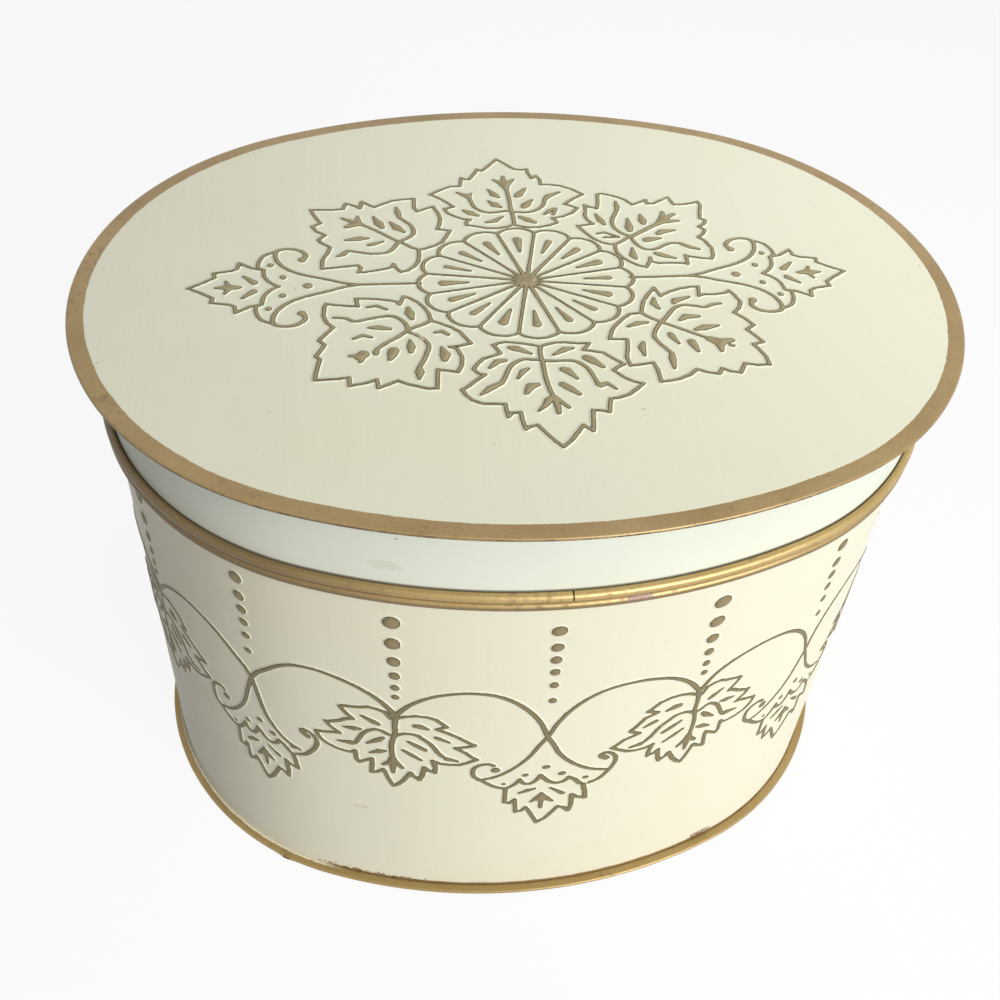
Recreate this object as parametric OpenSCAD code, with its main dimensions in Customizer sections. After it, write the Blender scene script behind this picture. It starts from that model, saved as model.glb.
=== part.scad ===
// Oval tin trinket box with a lift-off lid.
// The body and the lid skirt are strips of painted sheet steel bent round an oval and soldered
// at one seam. Their facing edges are rolled outwards over a wire. The base and the lid's top
// are oval panels whose edges are folded round a flange on the strips. A collar soldered inside
// the body's mouth stands up into the lid and locates it.
// Units are millimetres, +Z is up, and the origin is at the middle of the face it stands on.

/* [Oval] */
// Length of the body over its wall
body_length = 216; // [190:1:260]
// Width of the body over its wall
body_width = 168; // [150:1:184]

/* [Sheet] */
// Thickness of the painted sheet steel
sheet = 0.4; // [0.3:0.05:0.6]

/* [Body] */
// Height of the body, from the table to the top of its rolled rim
body_height = 136.2; // [90:0.1:180]
// How far the folded rim of the base stands out from the wall
base_rim_width = 2.75; // [2.2:0.05:6]
// Width of the flat ring that the base stands on, measured inwards from the wall's face
base_ring_width = 8; // [5:0.5:20]
// How far the middle of the base is raised off the table
base_recess = 1.5; // [0.8:0.1:5]

/* [Collar] */
// How far the collar stands up above the body's rim
collar_rise = 19.5; // [10:0.5:21]
// How far the collar reaches down inside the body
collar_depth = 16; // [8:0.5:40]
// Width of the hem turned in along the collar's top edge
collar_hem = 5; // [3:0.5:8]

/* [Lid] */
// Height of the lid, from the bottom of its rolled hem to its top
lid_height = 26.4; // [24:0.1:60]
// How far the folded rim of the lid stands out from its skirt
lid_rim_width = 6.15; // [3:0.05:12]
// Width of the gold band painted round the top of the lid
lid_band_width = 4.3; // [2:0.1:12]

/* [Rolled edges] */
// Diameter of the wire inside the rolled edges
wire_d = 1.7; // [1.2:0.1:2.8]
// Play between the wire and the sheet rolled over it
wire_play = 0.05; // [0.02:0.01:0.15]
// Crevice between the raw edge of a rolled sheet and the strip beside it
raw_edge_gap = 0.15; // [0.05:0.05:0.4]

/* [Fits] */
// Clearance all round between the collar and the lid's skirt
lid_clearance = 0.25; // [0.1:0.05:0.6]
// Gap between the lid's hem and the body's rim when the lid is on
seat_gap = 0.4; // [0.2:0.05:0.8]
// Film of solder between the collar and the wall
solder_film = 0.05; // [0.02:0.01:0.1]
// Gap between a folded lip and the strip beside it
lip_gap = 0.3; // [0.1:0.05:0.8]

/* [Seams] */
// Width of the soldered joint between a strip's two ends
seam_gap = 0.4; // [0.2:0.1:1]
// Place of the skirt's seam along the front of the lid
skirt_seam_x = 1; // [-40:1:40]
// Place of the wall's seam along the back of the body
wall_seam_x = 19; // [-40:1:40]
// Width of the solder run inside the wall's seam
solder_run_width = 3; // [2:0.5:6]
// Thickness of the solder run inside the wall's seam
solder_run_depth = 0.25; // [0.1:0.05:0.5]
// Distance that the solder run stops short of the collar
solder_run_stop = 1; // [0.5:0.5:5]

/* [Colours] */
// Paint on the walls and panels
cream = "#EDE6CE"; // [#EDE6CE, #F4F1E4, #E4DBB8]
// Paint on the rims and rolled edges
gold = "#A98A58"; // [#A98A58, #B8954F, #8E7448]
// Bare tinned steel
tin = "#B4B0A6"; // [#B4B0A6, #C8C4BA, #9A968C]
// Soft solder
solder = "#8F8D88"; // [#8F8D88, #A5A39D, #767470]

/* [Hidden] */
$fn = 24;

// Steps round a full turn of an arc of the oval
oval_steps = 120;

// The oval has four arcs: one round each end and a flatter one along each side. They meet on
// lines that rise 12 for every 5 along, so the arcs' centres lie whole steps from the middle.
half_length = body_length / 2;
half_width = body_width / 2;
oval_step = (half_length - half_width) / 4;
end_radius = half_width - oval_step;
end_centre_x = 5 * oval_step;
side_centre_y = -12 * oval_step;
// Distance between the centres of an end arc and the side arc it meets
join_length = 13 * oval_step;
side_radius = end_radius + join_length;

// A rolled edge: sheet wrapped over a wire, up to where its raw edge nears its own strip
wire_hole_r = wire_d / 2 + wire_play;
roll_r = wire_hole_r + sheet;

// A folded rim is three sheets thick, with a flange of the strip held inside it
fold_r = 1.5 * sheet;
fold_hole_r = sheet / 2;

// Width of the ring that a plate is made from
plate_ring = 30;

// Offsets outwards from the outer face of the wall
collar_face = -sheet - solder_film;
skirt_inner = collar_face + lid_clearance;
skirt_outer = skirt_inner + sheet;
wall_roll_centre = -sheet + roll_r;
skirt_roll_centre = skirt_inner + roll_r;
lid_edge = skirt_outer + lid_rim_width;

// Heights above the table
wall_roll_z = body_height - roll_r;
lid_bottom = body_height + seat_gap;
lid_top = lid_bottom + lid_height;
skirt_roll_z = lid_bottom + roll_r;
skirt_flange_z = lid_top - 2 * sheet;
wall_flange_z = sheet;
collar_bottom = body_height - collar_depth;
collar_top = body_height + collar_rise;

// Reach of a cutting block past the oval, so that it clears every rim
reach = half_length + half_width;
join_steps = ceil(reach / end_centre_x);

// Sweeps a profile round the oval. In the profile, X is the offset outwards from the wall's
// face and Y is the height. Each arc is a full turn of the profile, cut to its own sector.
module round_oval() {
    for (turn = [0, 180]) rotate(turn) {
        intersection() {
            translate([end_centre_x, 0]) rotate_extrude($fn = oval_steps) translate([end_radius, 0]) children();
            sector([[end_centre_x, 0], arc_join(1, -1), arc_join(1, 1)]);
        }
        intersection() {
            translate([0, side_centre_y]) rotate_extrude($fn = oval_steps) translate([side_radius, 0]) children();
            sector([[end_centre_x, 0], arc_join(1, 1), arc_join(-1, 1), [-end_centre_x, 0]]);
        }
    }
}

// A point well outside the oval, on the line where an end arc meets a side arc
function arc_join(x, y) = [x * (join_steps + 1) * end_centre_x, -y * join_steps * side_centre_y];

// A block over a sector of the oval, taller than the box
module sector(corners) {
    translate([0, 0, -1]) linear_extrude(lid_top + 2) polygon(corners);
}

// A flat oval plate whose edge is at an offset from the wall's face. It is a broad ring, filled
// in by a block with its corners inside the ring.
module oval_plate(edge, z, thick) {
    end_x = half_length + edge - plate_ring / 2;
    side_y = half_width + edge - plate_ring / 2;
    join = [end_centre_x, -side_centre_y] * (1 + (end_radius + edge - plate_ring / 2) / join_length)
        + [0, side_centre_y];
    round_oval() translate([edge - plate_ring, z]) square([plate_ring, thick]);
    translate([0, 0, z]) linear_extrude(thick)
        polygon([[end_x, 0], join, [0, side_y], [-join.x, join.y],
                 [-end_x, 0], -join, [0, -side_y], [join.x, -join.y]]);
}

// Section of a sheet rolled outwards over a wire. The strip's inner face is at X 0, it comes
// down to the roll's centre at Y 0, and the roll's raw edge ends beside the strip.
module roll_section() {
    translate([roll_r, 0]) difference() {
        circle(roll_r);
        circle(wire_hole_r);
        translate([-2 * roll_r, 0]) square([roll_r + sheet + raw_edge_gap, 2 * roll_r]);
    }
}

// Section of a panel's edge folded back over a flange. The edge is at X 0, the panel lies at
// Y 0, and the lip runs back above the flange.
module fold_section(lip) {
    translate([-fold_r, fold_r]) difference() {
        circle(fold_r);
        circle(fold_hole_r);
        translate([-2 * fold_r, -fold_r]) square([2 * fold_r, 2 * fold_r]);
    }
    translate([-lip, 2 * sheet]) square([lip - fold_r, sheet]);
}

// Block that cuts a strip across at its seam, on the front or on the back
module seam_cut(x, side) {
    translate([x - seam_gap / 2, side < 0 ? -reach : 0, 0]) cube([seam_gap, reach, lid_top]);
}

module wall_strip() {
    round_oval() translate([-sheet, wall_flange_z]) square([sheet, wall_roll_z - wall_flange_z]);
}

module skirt_strip() {
    round_oval() translate([skirt_inner, skirt_roll_z]) square([sheet, lid_top - sheet - skirt_roll_z]);
}

// Body wall: a strip with a flange at its foot and a rolled rim at its mouth
module body_wall() {
    difference() {
        union() {
            color(cream) wall_strip();
            color(cream) round_oval() translate([-sheet, wall_flange_z])
                square([sheet + base_rim_width - fold_r, sheet]);
            color(gold) round_oval() translate([-sheet, wall_roll_z]) mirror([0, 1]) roll_section();
        }
        seam_cut(wall_seam_x, 1);
    }
}

// Wire inside the body's rolled rim
module body_rim_wire() {
    color(tin) round_oval() translate([wall_roll_centre, wall_roll_z]) circle(wire_d / 2);
}

// Collar: a strip soldered inside the mouth, with its top edge turned in as a hem
module body_collar() {
    color(tin) round_oval() {
        translate([collar_face - sheet, collar_bottom]) square([sheet, collar_top - collar_bottom]);
        translate([collar_face - 2 * sheet, collar_top - collar_hem]) square([sheet, collar_hem]);
    }
}

// Solder in the wall's seam, with a run of it along the inside below the collar
module wall_seam_solder() {
    run_foot = 2 * wall_flange_z + base_recess;
    color(solder) {
        intersection() {
            wall_strip();
            seam_cut(wall_seam_x, 1);
        }
        intersection() {
            round_oval() translate([-sheet - solder_run_depth, run_foot])
                square([solder_run_depth, collar_bottom - solder_run_stop - run_foot]);
            translate([wall_seam_x - solder_run_width / 2, 0, 0]) cube([solder_run_width, reach, body_height]);
        }
    }
}

// Base: an oval panel with a raised middle and its edge folded up round the wall's flange
module base_panel() {
    color(gold) {
        round_oval() translate([-base_ring_width, 0])
            square([base_ring_width + base_rim_width - fold_r, sheet]);
        round_oval() translate([base_rim_width, 0]) fold_section(base_rim_width - lip_gap);
        round_oval() translate([-base_ring_width - sheet, 0]) square([sheet, base_recess + sheet]);
        oval_plate(-base_ring_width - sheet, base_recess, sheet);
    }
}

// Lid top: an oval panel with its edge folded under round the skirt's flange
module lid_panel() {
    band_inner = lid_edge - lid_band_width;
    color(cream) oval_plate(band_inner, lid_top - sheet, sheet);
    color(gold) round_oval() translate([band_inner, lid_top - sheet])
        square([lid_band_width - fold_r, sheet]);
    color(gold) round_oval() translate([lid_edge, lid_top]) mirror([0, 1])
        fold_section(lid_rim_width - lip_gap);
}

// Lid skirt: a strip with a flange at its top and a rolled hem at its foot
module lid_skirt() {
    difference() {
        union() {
            color(cream) skirt_strip();
            color(cream) round_oval() translate([skirt_inner, skirt_flange_z])
                square([lid_edge - fold_r - skirt_inner, sheet]);
            color(gold) round_oval() translate([skirt_inner, skirt_roll_z]) roll_section();
        }
        seam_cut(skirt_seam_x, -1);
    }
}

// Wire inside the lid's rolled hem
module lid_hem_wire() {
    color(tin) round_oval() translate([skirt_roll_centre, skirt_roll_z]) circle(wire_d / 2);
}

// Solder in the skirt's seam
module skirt_seam_solder() {
    color(solder) intersection() {
        skirt_strip();
        seam_cut(skirt_seam_x, -1);
    }
}

body_wall();
body_rim_wire();
body_collar();
wall_seam_solder();
base_panel();
lid_panel();
lid_skirt();
lid_hem_wire();
skirt_seam_solder();
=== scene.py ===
import math

import bpy
import numpy as np
from mathutils import Matrix, Vector


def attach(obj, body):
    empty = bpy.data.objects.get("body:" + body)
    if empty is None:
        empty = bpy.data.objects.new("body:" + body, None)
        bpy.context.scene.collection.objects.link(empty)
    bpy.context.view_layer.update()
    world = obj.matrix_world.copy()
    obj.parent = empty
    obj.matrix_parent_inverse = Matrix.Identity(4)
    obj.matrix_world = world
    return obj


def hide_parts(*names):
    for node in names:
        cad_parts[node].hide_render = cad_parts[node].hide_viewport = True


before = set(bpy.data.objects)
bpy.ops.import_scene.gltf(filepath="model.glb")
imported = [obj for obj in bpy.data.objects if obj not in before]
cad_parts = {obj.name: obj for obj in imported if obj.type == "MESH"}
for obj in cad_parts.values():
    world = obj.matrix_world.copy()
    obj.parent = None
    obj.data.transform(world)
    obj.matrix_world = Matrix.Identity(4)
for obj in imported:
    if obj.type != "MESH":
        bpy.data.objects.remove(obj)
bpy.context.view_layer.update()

# Base panel: an oval of thin tinned steel with its middle raised off the table. Its edge is folded
# up round the flange at the foot of the wall, and the fold is painted gold by hand.
MM = 0.001
END_RADIUS, END_CENTRE = 78.0, 30.0
SIDE_RADIUS, SIDE_CENTRE = 156.0, 72.0
JOINT_RUN, JOINT_RISE = 5, 12
SIDE_TURN = math.atan2(JOINT_RUN, JOINT_RISE)
SIDE_HALF = SIDE_RADIUS * SIDE_TURN
END_ARC = END_RADIUS * (math.pi - 2 * SIDE_TURN)
ROUND = 4 * SIDE_HALF + 2 * END_ARC
ROUND_STEPS = 400
SEAM_GAP = 0.4


def on_oval(along, out, up):
    """A point of the oval: mm along the wall from the middle of the front, out from its face, and up."""
    along %= ROUND
    legs = (
        (SIDE_HALF, 0, SIDE_CENTRE, SIDE_RADIUS),
        (END_ARC, END_CENTRE, 0, END_RADIUS),
        (2 * SIDE_HALF, 0, -SIDE_CENTRE, SIDE_RADIUS),
        (END_ARC, -END_CENTRE, 0, END_RADIUS),
        (SIDE_HALF, 0, SIDE_CENTRE, SIDE_RADIUS),
    )
    heading = 0.0
    for length, x, y, radius in legs:
        if along <= length:
            break
        along -= length
        heading += length / radius
    heading += along / radius
    reach = radius + out
    return Vector((x + reach * math.sin(heading), y - reach * math.cos(heading), up)) * MM


def arc(out, up, radius, first, last, steps):
    """Points of a round bend in a section, in degrees from outwards."""
    turns = [math.radians(first + (last - first) * i / steps) for i in range(steps + 1)]
    return [(out + radius * math.cos(t), up + radius * math.sin(t)) for t in turns]


def bent_sheet(name, points, faces, sharp=40):
    """A sheet metal piece with smooth bends and crisp edges."""
    mesh = bpy.data.meshes.new(name)
    mesh.from_pydata(points, [], faces)
    mesh.validate()
    mesh.shade_smooth()
    mesh.set_sharp_from_angle(angle=math.radians(sharp))
    piece = bpy.data.objects.new(name, mesh)
    bpy.context.scene.collection.objects.link(piece)
    return piece


def carried_round(section, closed=True, seam=None):
    """Points and faces of a section of (out, up) points carried round the oval, with or without a seam."""
    points, faces, count = [], [], len(section)
    first, length, rows = 0.0, ROUND, ROUND_STEPS
    if seam is not None:
        first, length, rows = seam + SEAM_GAP / 2, ROUND - SEAM_GAP, ROUND_STEPS + 1
    for i in range(rows):
        points += [on_oval(first + length * i / ROUND_STEPS, out, up) for out, up in section]
    for i in range(ROUND_STEPS):
        a, b = i * count, (i + 1) % rows * count
        for k in range(count if closed else count - 1):
            n = (k + 1) % count
            faces.append((a + k, b + k, b + n, a + n))
    return points, faces


def panel(name, section):
    """An oval sheet whose edge has this section, from its under face out and back to its top face."""
    points, faces = carried_round(section, closed=False)
    count = len(section)
    for end, (out, up) in ((0, section[0]), (count - 1, section[-1])):
        ring = [i * count + end for i in range(ROUND_STEPS)]
        for share in (0.8, 0.6, 0.4, 0.2):
            first = len(points)
            for i in range(ROUND_STEPS):
                x, y, z = on_oval(ROUND * i / ROUND_STEPS, out, up)
                points.append((x * share, y * share, z))
            inner = list(range(first, first + ROUND_STEPS))
            faces += quads_between(ring, inner, end == 0)
            ring = inner
        points.append((0, 0, up * MM))
        middle = len(points) - 1
        for i in range(ROUND_STEPS):
            pair = (ring[i], ring[(i + 1) % ROUND_STEPS])
            faces.append((*(pair if end else pair[::-1]), middle))
    return bent_sheet(name, points, faces)


def quads_between(ring, inner, flipped):
    """Faces between two rings of points."""
    faces = []
    for i in range(len(ring)):
        j = (i + 1) % len(ring)
        quad = (ring[i], ring[j], inner[j], inner[i])
        faces.append(quad[::-1] if flipped else quad)
    return faces


class Dab:
    """A value in a paint's node tree. Arithmetic on it adds Math nodes."""

    def __init__(self, tree, socket=None):
        self.tree, self.socket = tree, socket

    def make(self, kind, settings=None, sockets=None, output=0):
        """A node of any other kind, its settings first, then the values or links of its sockets."""
        made = self.tree.nodes.new("ShaderNode" + kind)
        for name, value in (settings or {}).items():
            setattr(made, name, value)
        for name, value in (sockets or {}).items():
            if isinstance(value, Dab):
                self.tree.links.new(value.socket, made.inputs[name])
            elif value is not None:
                made.inputs[name].default_value = value
        return Dab(self.tree, made.outputs[output] if made.outputs else None)

    def math(self, operation, first, second=None):
        return self.make("Math", {"operation": operation}, {0: first, 1: second})

    def __add__(self, other):
        return self.math("ADD", self, other)

    def __sub__(self, other):
        return self.math("SUBTRACT", self, other)

    def __mul__(self, other):
        return self.math("MULTIPLY", self, other)

    def __truediv__(self, other):
        return self.math("DIVIDE", self, other)

    def __rsub__(self, other):
        return self.math("SUBTRACT", other, self)

    def __rtruediv__(self, other):
        return self.math("DIVIDE", other, self)

    __radd__, __rmul__ = __add__, __mul__

    def either(self, other):
        return self.math("MAXIMUM", self, other)

    def size(self):
        return self.math("ABSOLUTE", self)

    def rise(self, low, high):
        """0 below low, 1 above high, and smooth between; the other way round if low is the larger."""
        limits = {"Value": self, "From Min": low, "From Max": high}
        return self.make("MapRange", {"interpolation_type": "SMOOTHSTEP"}, limits)

    def over(self, under, top):
        """Top colour laid over the under colour, as thick as this mask."""
        return self.make("Mix", {"data_type": "RGBA"}, {0: self, 6: under, 7: top}, 2)


def shade(red, green, blue):
    """A paint as the eye reads it, on a scale to 255, as the linear colour that a shader takes."""
    linear = [((c / 255 + 0.055) / 1.055) ** 2.4 for c in (red, green, blue)]
    return (*linear, 1)


class Finish:
    """A surface: its material, the place on the piece, and noises read at that place."""

    def __init__(self, name):
        self.material = bpy.data.materials.new(name)
        self.material.use_nodes = True
        self.tree = self.material.node_tree
        self.tree.nodes.clear()
        self.brush = Dab(self.tree)
        self.place = self.brush.make("TexCoord", output=3)
        self.parts = [self.brush.make("SeparateXYZ", None, {0: self.place}, i) * 1000 for i in range(3)]

    def grain(self, per_mm, detail=3.0, stretch=(1, 1, 1), shift=0.0):
        """Noise from 0 to 1 with so many waves a millimetre, drawn out along an axis by stretch."""
        scale = tuple(1000 * per_mm / s for s in stretch)
        sockets = {"Vector": self.place, "Location": (shift,) * 3, "Scale": scale}
        mapped = self.brush.make("Mapping", None, sockets)
        sockets = {"Vector": mapped, "Scale": 1.0, "Detail": detail, "Roughness": 0.55}
        return self.brush.make("TexNoise", None, sockets)

    def spot(self, x, y, z, wide, high):
        """1 in the middle of a mark with ragged edges, 0 outside it; wide and high are half its size."""
        gaps = [(part - at) / half for part, at, half in zip(self.parts, (x, y, z), (wide, wide, high))]
        away = self.brush.math("SQRT", gaps[0] * gaps[0] + gaps[1] * gaps[1] + gaps[2] * gaps[2])
        return (away + (self.grain(0.9, 3, shift=7.3) - 0.5) * 1.1).rise(1.05, 0.85)

    def lay(self, colour, rough, metal, height, depth):
        """Puts the finish on the material's surface; height is in units of depth mm."""
        bump = self.brush.make("Bump", None, {"Strength": 1.0, "Distance": depth * MM, "Height": height})
        sockets = {"Base Color": colour, "Roughness": rough, "Metallic": metal, "Normal": bump}
        surface = self.brush.make("BsdfPrincipled", None, sockets)
        self.brush.make("OutputMaterial", None, {"Surface": surface})
        return self.material


def gilding(finish, tint):
    """Old gold paint: bronze powder in varnish, brushed on thinly, with a few patches tarnished brown."""
    cloud = finish.grain(0.03, 3)
    brushed = finish.grain(0.35, 4, (6, 6, 1), 3.1)
    fleck = finish.grain(1.4, 3, shift=1.7)
    tone = (cloud * 0.4 + brushed * 0.3 + fleck * 0.3).rise(0.3, 0.7)
    colour = tone.over(shade(*(c - 16 for c in tint)), shade(*(c + 10 for c in tint)))
    tarnish = (finish.grain(0.5, 3, shift=4.9) * 0.55 + cloud * 0.5).rise(0.6, 0.74)
    colour = (tarnish * 0.45).over(colour, shade(104, 80, 52))
    rough = 0.3 + fleck * 0.14 + tarnish * 0.2
    metal = 0.42 - tarnish * 0.25
    return colour, rough, metal, brushed * 0.25 + fleck * 0.3


BASE_BEND = 2.15, 0.6
INSIDE, OUTSIDE = 0.2, 0.6
base_section = (
    [(-10.0, 1.5), (-8.4, 1.5), (-8.4, 0.4), (-8.2, 0.12), (-7.9, 0.0), (2.15, 0.0)]
    + arc(*BASE_BEND, OUTSIDE, -90, 90, 10)[1:]
    + [(0.3, 1.2), (0.3, 0.8), (2.15, 0.8)]
    + arc(*BASE_BEND, INSIDE, 90, -90, 4)[1:]
    + [(-7.7, 0.4), (-7.9, 0.5), (-8.0, 0.7), (-8.0, 1.9), (-10.0, 1.9)]
)
base = panel("base", base_section)
KNOCK = on_oval(-74.6, 2.4, 0.6)
KNOCK_REACH, KNOCK_DEPTH, FOLD_TOP = 5, 0.6, 1.5
for point in base.data.vertices:
    nearness = 1 - (point.co - KNOCK).length / (KNOCK_REACH * MM)
    if nearness > 0 and point.co.z < FOLD_TOP * MM:
        point.co += KNOCK.normalized() * KNOCK_DEPTH * MM * nearness * nearness


def outside(finish):
    """Distance in mm outwards from the wall's face, less than zero inside it."""
    x, y = finish.parts[0].size(), finish.parts[1].size()
    end = finish.brush.math("SQRT", (x - END_CENTRE) * (x - END_CENTRE) + y * y) - END_RADIUS
    side = finish.brush.math("SQRT", x * x + (y + SIDE_CENTRE) * (y + SIDE_CENTRE)) - SIDE_RADIUS
    on_side = (y * JOINT_RUN - (x - END_CENTRE) * JOINT_RISE).rise(-0.01, 0.01)
    return end + (side - end) * on_side


def left_end(finish):
    """1 round the left end of the box, where a cream strip along the fold of the base is painted as a
    highlight.
    """
    return finish.parts[0].rise(-54, -64) * finish.parts[1].rise(40, 0)


def base_finish():
    """Gold on the fold, a cream strip along its inner edge at the left end as a painted highlight, and a
    knocked place at the front left.
    """
    finish = Finish("gold_paint_on_base")
    colour, rough, metal, height = gilding(finish, (172, 146, 94))
    knock = finish.spot(*(KNOCK / MM), 1.5, 0.7) * 0.85
    colour = knock.over(colour, shade(70, 56, 40))
    ragged = (finish.grain(0.5, 3, shift=5.5) - 0.5) * 0.9
    # Painted highlight: a pale cream strip along the fold's inner edge at the left end, where it meets the
    # wall.
    painted_highlight_edge = (outside(finish) + ragged).rise(1.0, 0.8) * finish.parts[2].rise(0.9, 1.1)
    cream = painted_highlight_edge * left_end(finish)
    colour = cream.over(colour, shade(238, 230, 205))
    metal = metal * (1 - knock.either(cream))
    return finish.lay(colour, rough + knock * 0.2, metal, height, depth=0.12)


base.data.materials.append(base_finish())
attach(base, "box")
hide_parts("base_panel")

# Body wall: one strip of sheet steel bent round the oval and soldered at the back. Its foot is turned
# out into the base's fold, and its mouth is rolled outwards over a wire. It is brushed with cream
# enamel, and the roll and the foot are painted gold.
WALL_SEAM = ROUND / 2 - 19.05
WALL_ROLL = 0.9, 134.9
WIRE_SIDE, PAINT_SIDE = 0.9, 1.3
RIM_GOLD = 133.3, 133.6


def strip(name, section, seam):
    """A closed section carried round the oval from one side of a seam to the other."""
    points, faces = carried_round(section, seam=seam)
    count = len(section)
    faces.append(tuple(range(count)))
    faces.append(tuple(ROUND_STEPS * count + k for k in range(count))[::-1])
    return bent_sheet(name, points, faces)


def enamel(finish, tint, streak):
    """Old cream enamel, brushed on: tint is its colour, streak the way the brush went."""
    cloud = finish.grain(0.012, 3, shift=0.4)
    patch = finish.grain(0.03, 4, shift=2.3)
    stroke = finish.grain(0.5, 3, streak, 5.2)
    fine = finish.grain(1.6, 2, shift=8.1)
    warm = cloud.rise(0.42, 0.72)
    colour = (warm * 0.5).over(shade(*tint), shade(tint[0], tint[1] - 5, tint[2] - 11))
    colour = (patch.rise(0.56, 0.8) * 0.25).over(colour, shade(tint[0] - 6, tint[1] - 14, tint[2] - 20))
    colour = ((stroke - 0.5).size() * 0.25).over(colour, shade(tint[0] - 18, tint[1] - 20, tint[2] - 24))
    dust = finish.grain(0.75, 2, shift=11.0) * 0.72 + finish.grain(0.09, 2, shift=6.6) * 0.4
    speck = dust.rise(0.785, 0.82)
    colour = (speck * 0.65).over(colour, shade(150, 130, 100))
    rough = 0.36 + stroke * 0.1 + patch * 0.12 + speck * 0.2
    height = stroke * 0.4 + fine * 0.25 + cloud * 2.0 - speck * 0.5
    return colour, rough, height


def relief_gold(finish, tint):
    """Gold on the tops of the pressed lines: how much it covers, and its colour, with painted shade making it
    brown at the edges and a painted sheen making it lighter along the middle.
    """
    depth = finish.brush.make("Attribute", {"attribute_name": "gilt"}, None, 2) - 1
    edge = finish.grain(0.9, 3, shift=4.4) - 0.5
    worn = finish.grain(0.16, 4, shift=9.3).rise(0.8, 0.68)
    cover = (depth + edge * 0.3).rise(-0.08, 0.06) * worn
    # Painted sheen and shade: lighter along the middle of each line, darker at its edges.
    painted_line_sheen = (depth + edge * 0.3).rise(0.1, 0.3)
    colour = painted_line_sheen.over(shade(*(c * 0.4 for c in tint)), shade(*tint))
    return cover, (depth + edge).rise(0.6, 1.3).over(colour, shade(150, 131, 99))


def painted(name, tint, gold_tint, line_tint, streak, gilt, marks):
    """Cream sheet with gold where gilt(finish) says and on pressed lines, and marks of (mask, colour)."""
    finish = Finish(name)
    colour, rough, height = enamel(finish, tint, streak)
    gold, gold_rough, metal, gold_height = gilding(finish, gold_tint)
    # The colour of the pressed lines carries a painted sheen and painted shade.
    cover, line = relief_gold(finish, line_tint)
    mask = gilt(finish).either(cover)
    colour = mask.over(colour, cover.over(gold, line))
    metal = metal * (mask - cover * 0.75)
    for mark, stain in marks(finish):
        colour = mark.over(colour, shade(*stain))
        metal = metal * (1 - mark)
    rough = rough + (gold_rough + cover * 0.14 - rough) * mask
    height = height + (gold_height + 0.6 - height) * mask
    return finish.lay(colour, rough, metal, height, depth=0.1)


def foot_height(finish):
    """Height in mm, made ragged as the brush left the upper edge of the gold foot."""
    return finish.parts[2] + (finish.grain(0.25, 4, shift=7.7) - 0.5)


def wall_gold(finish):
    """Gold on the foot, though not at the left end, and on the rolled rim."""
    foot = foot_height(finish).rise(2.0, 1.85) * (1 - left_end(finish))
    return foot.either(finish.parts[2].rise(*RIM_GOLD))


def wall_marks(finish):
    """Dirt and rust above the base, chipped enamel, a rubbed place, a chip in the rim's gold, painted shade
    darkening the rim's gold towards the left end, and painted shade on the lower half of the rolled rim.
    """
    x, y, up = finish.parts
    grit = finish.grain(0.9, 4, shift=3.3)
    line = (foot_height(finish) - 2.05).size().rise(0.3, 0.08) * (1 - left_end(finish))
    line = line * finish.grain(0.07, 3, shift=1.4).rise(0.34, 0.5)
    worn_front = x.rise(-70, -58) * x.rise(-22, -36) * y.rise(0, -10)
    rust = (grit + worn_front * 0.16 - (up - 2.0).size() * 0.11).rise(0.6, 0.68) * worn_front
    flakes = (finish.grain(1.3, 3, shift=6.8) - (up - 3.4).size() * 0.06).rise(0.6, 0.66) * worn_front
    rust_right = finish.spot(56.0, -74.0, 2.8, 4.2, 1.7) * grit.rise(0.34, 0.5)
    chip = finish.spot(17.0, -84.9, 135.4, 3.4, 1.1)
    pits = finish.grain(1.5, 3, shift=2.2).rise(0.52, 0.6)
    rubbed = finish.spot(-49.3, -76.0, 39.8, 2.6, 0.9)
    rim = up.rise(*RIM_GOLD)
    # Painted shade: the rim's gold is darkened towards the left end, the side away from the light.
    painted_left_shade = x.rise(-20, -80) * rim
    # Painted shade: the lower half of the rolled rim, which faces down, is darkened.
    painted_shade_under_rim = up.rise(135.7, 135.0) * rim
    return (
        (flakes * up.rise(4.6, 3.6) * 0.8, (252, 250, 240)),
        (line * 0.8, (86, 66, 42)),
        (rust * up.rise(4.0, 3.0) * 0.85, (104, 68, 38)),
        (rust_right * 0.85, (120, 76, 56)),
        (chip, (178, 146, 128)),
        (chip * pits * 0.7, (112, 80, 68)),
        (rubbed * 0.22, (176, 150, 128)),
        (painted_left_shade * 0.7, (112, 90, 59)),
        (painted_shade_under_rim * 0.65, (98, 84, 54)),
    )


wall_section = (
    [(-0.4, 0.4), (2.15, 0.4), (2.15, 0.8), (0.3, 0.8), (0.08, 0.88), (0.0, 1.1)]
    + arc(*WALL_ROLL, WIRE_SIDE, 180, -146, 24)
    + arc(*WALL_ROLL, PAINT_SIDE, -125, 180, 28)
)
wall = strip("wall", wall_section, WALL_SEAM)
wall_paint = painted(
    "cream_paint_on_wall", tint=(241, 237, 213), gold_tint=(175, 148, 97), line_tint=(132, 121, 82),
    streak=(1, 1, 14), gilt=wall_gold, marks=wall_marks,
)
wall.data.materials.append(wall_paint)
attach(wall, "box")
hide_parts("body_wall")

# Wall ornament: vine festoons, leaves, scrolls and drops pressed outwards in the sheet before it was
# bent, then picked out in gold by hand. The pattern repeats, a leaf and then a scroll, eight times.
PITCH = 39.6
WALL_LINE, WALL_VEIN = 0.43, 0.44
FINE_LINE = 0.6
FLANK = 0.45
CREST = 0.75


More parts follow.
